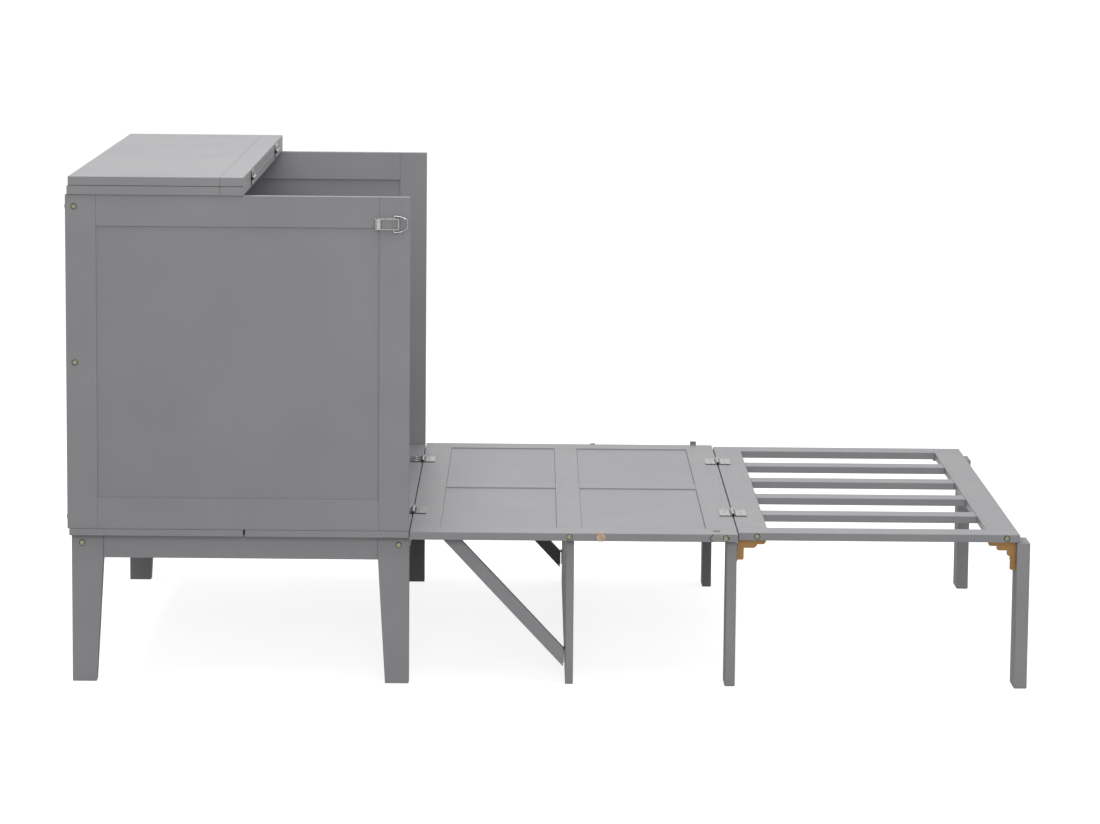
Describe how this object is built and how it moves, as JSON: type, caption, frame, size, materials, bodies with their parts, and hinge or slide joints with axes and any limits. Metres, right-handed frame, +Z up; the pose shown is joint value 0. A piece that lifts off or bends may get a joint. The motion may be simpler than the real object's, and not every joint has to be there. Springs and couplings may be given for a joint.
{
  "type": "wall bed",
  "caption": "Cabinet wall bed, unfolded: panelled cabinet on tapered legs, door lying as platform, hinged slatted frame with folding legs, folding support, lid leaf and draw latches.",
  "frame": {"origin": "centre of the bounding box's bottom face, on the floor", "axes": "+X from the cabinet towards the foot of the bed, +Y towards the right side (left is -Y), +Z up"},
  "size_m": [1.9466, 1.0712, 1.0316],
  "materials": {
    "painted_wood": "satin grey paint",
    "nickel_steel": "satin nickel",
    "bolt_brass": "satin",
    "hex_brass": "satin",
    "bracket_gold": "satin gold-brown"
  },
  "bodies": {
    "cabinet": {"base_leg_rear_left": "painted_wood", "base_leg_rear_right": "painted_wood", "base_leg_front_left": "painted_wood", "base_leg_front_right": "painted_wood", "side_aprons": "painted_wood", "cross_members": "painted_wood", "floor_board_rear": "painted_wood", "floor_board_front": "painted_wood", "side_frame_left": "painted_wood", "side_panel_left": "painted_wood", "side_frame_right": "painted_wood", "side_panel_right": "painted_wood", "back_frame": "painted_wood", "back_panel": "painted_wood", "lid_rear_board": "painted_wood", "lid_rear_cleat": "painted_wood", "lid_hinge_rear_leaves": "nickel_steel", "door_hinge_cabinet_leaves": "nickel_steel", "cabinet_bolts": "bolt_brass", "latch_base_left": "nickel_steel", "latch_base_right": "nickel_steel"},
    "lid_leaf": {"lid_front_board": "painted_wood", "lid_front_cleat": "painted_wood", "lid_hinge_front_leaves": "nickel_steel"},
    "lever_left": {"latch_lever_left": "nickel_steel"},
    "loop_left": {"latch_loop_left": "nickel_steel"},
    "lever_right": {"latch_lever_right": "nickel_steel"},
    "loop_right": {"latch_loop_right": "nickel_steel"},
    "door": {"door_rails": "painted_wood", "door_stiles": "painted_wood", "door_mid_rails": "painted_wood", "door_panels": "painted_wood", "door_hinge_door_leaves": "nickel_steel", "frame_hinge_door_leaves": "nickel_steel", "support_hinge_door_leaves": "nickel_steel", "keepers": "nickel_steel", "hex_bolts": "hex_brass", "door_bolts": "bolt_brass"},
    "slat_frame": {"frame_rails": "painted_wood", "frame_crossbars": "painted_wood", "bed_slats": "painted_wood", "frame_hinge_frame_leaves": "nickel_steel", "frame_bolts": "bolt_brass", "rear_leg_brackets": "bracket_gold", "foot_leg_brackets": "bracket_gold"},
    "leg_rear_left": {"end_leg_rear_left": "painted_wood", "leg_plate_rear_left": "bracket_gold"},
    "leg_rear_right": {"end_leg_rear_right": "painted_wood", "leg_plate_rear_right": "bracket_gold"},
    "leg_foot_left": {"end_leg_foot_left": "painted_wood", "leg_plate_foot_left": "bracket_gold"},
    "leg_foot_right": {"end_leg_foot_right": "painted_wood", "leg_plate_foot_right": "bracket_gold"},
    "support": {"support_board": "painted_wood", "support_hinge_board_leaves": "nickel_steel", "brace_hinge_board_leaves": "nickel_steel"},
    "brace_left": {"brace_left": "painted_wood", "brace_leaf_left": "nickel_steel"},
    "brace_right": {"brace_right": "painted_wood", "brace_leaf_right": "nickel_steel"}
  },
  "joints": [
    {"name": "lid_fold", "type": "hinge", "parent": "cabinet", "child": "lid_leaf", "pos_m": [-0.6128, 0, 1.01345], "axis": [0, 1, 0], "range_deg": [0, 180]},
    {"name": "door_fold", "type": "hinge", "parent": "cabinet", "child": "door", "pos_m": [-0.283, 0, 0.3213], "axis": [0, -1, 0], "range_deg": [0, 90]},
    {"name": "frame_fold", "type": "hinge", "parent": "door", "child": "slat_frame", "pos_m": [0.3812, 0, 0.3213], "axis": [0, -1, 0], "range_deg": [0, 180]},
    {"name": "leg_fold_rear_left", "type": "hinge", "parent": "slat_frame", "child": "leg_rear_left", "pos_m": [0.3883, -0.48, 0.291], "axis": [0, -1, 0], "range_deg": [0, 90]},
    {"name": "leg_fold_rear_right", "type": "hinge", "parent": "slat_frame", "child": "leg_rear_right", "pos_m": [0.3883, 0.48, 0.291], "axis": [0, -1, 0], "range_deg": [0, 90]},
    {"name": "leg_fold_foot_left", "type": "hinge", "parent": "slat_frame", "child": "leg_foot_left", "pos_m": [0.9406, -0.48, 0.265], "axis": [0, 1, 0], "range_deg": [0, 90]},
    {"name": "leg_fold_foot_right", "type": "hinge", "parent": "slat_frame", "child": "leg_foot_right", "pos_m": [0.9406, 0.48, 0.265], "axis": [0, 1, 0], "range_deg": [0, 90]},
    {"name": "support_fold", "type": "hinge", "parent": "door", "child": "support", "pos_m": [0.0534, 0, 0.2987], "axis": [0, -1, 0], "range_deg": [0, 90]},
    {"name": "brace_fold_left", "type": "hinge", "parent": "support", "child": "brace_left", "pos_m": [0.0319, -0.491, 0.07391], "axis": [0, 1, 0], "range_deg": [0, 43.3]},
    {"name": "brace_fold_right", "type": "hinge", "parent": "support", "child": "brace_right", "pos_m": [0.0319, 0.491, 0.07391], "axis": [0, 1, 0], "range_deg": [0, 43.3]},
    {"name": "latch_lever_left", "type": "hinge", "parent": "cabinet", "child": "lever_left", "pos_m": [-0.3071, -0.531, 0.941], "axis": [0, 0, 1], "range_deg": [0, 110]},
    {"name": "latch_loop_left", "type": "hinge", "parent": "lever_left", "child": "loop_left", "pos_m": [-0.3161, -0.531, 0.941], "axis": [0, 0, -1], "range_deg": [0, 110]},
    {"name": "latch_lever_right", "type": "hinge", "parent": "cabinet", "child": "lever_right", "pos_m": [-0.3071, 0.531, 0.941], "axis": [0, 0, -1], "range_deg": [0, 110]},
    {"name": "latch_loop_right", "type": "hinge", "parent": "lever_right", "child": "loop_right", "pos_m": [-0.3161, 0.531, 0.941], "axis": [0, 0, 1], "range_deg": [0, 110]}
  ],
  "couplings": [
    {"joint": "brace_fold_left", "follows": "support_fold", "ratio": 0.481},
    {"joint": "brace_fold_right", "follows": "support_fold", "ratio": 0.481},
    {"joint": "latch_loop_left", "follows": "latch_lever_left", "ratio": 1},
    {"joint": "latch_loop_right", "follows": "latch_lever_right", "ratio": 1}
  ]
}
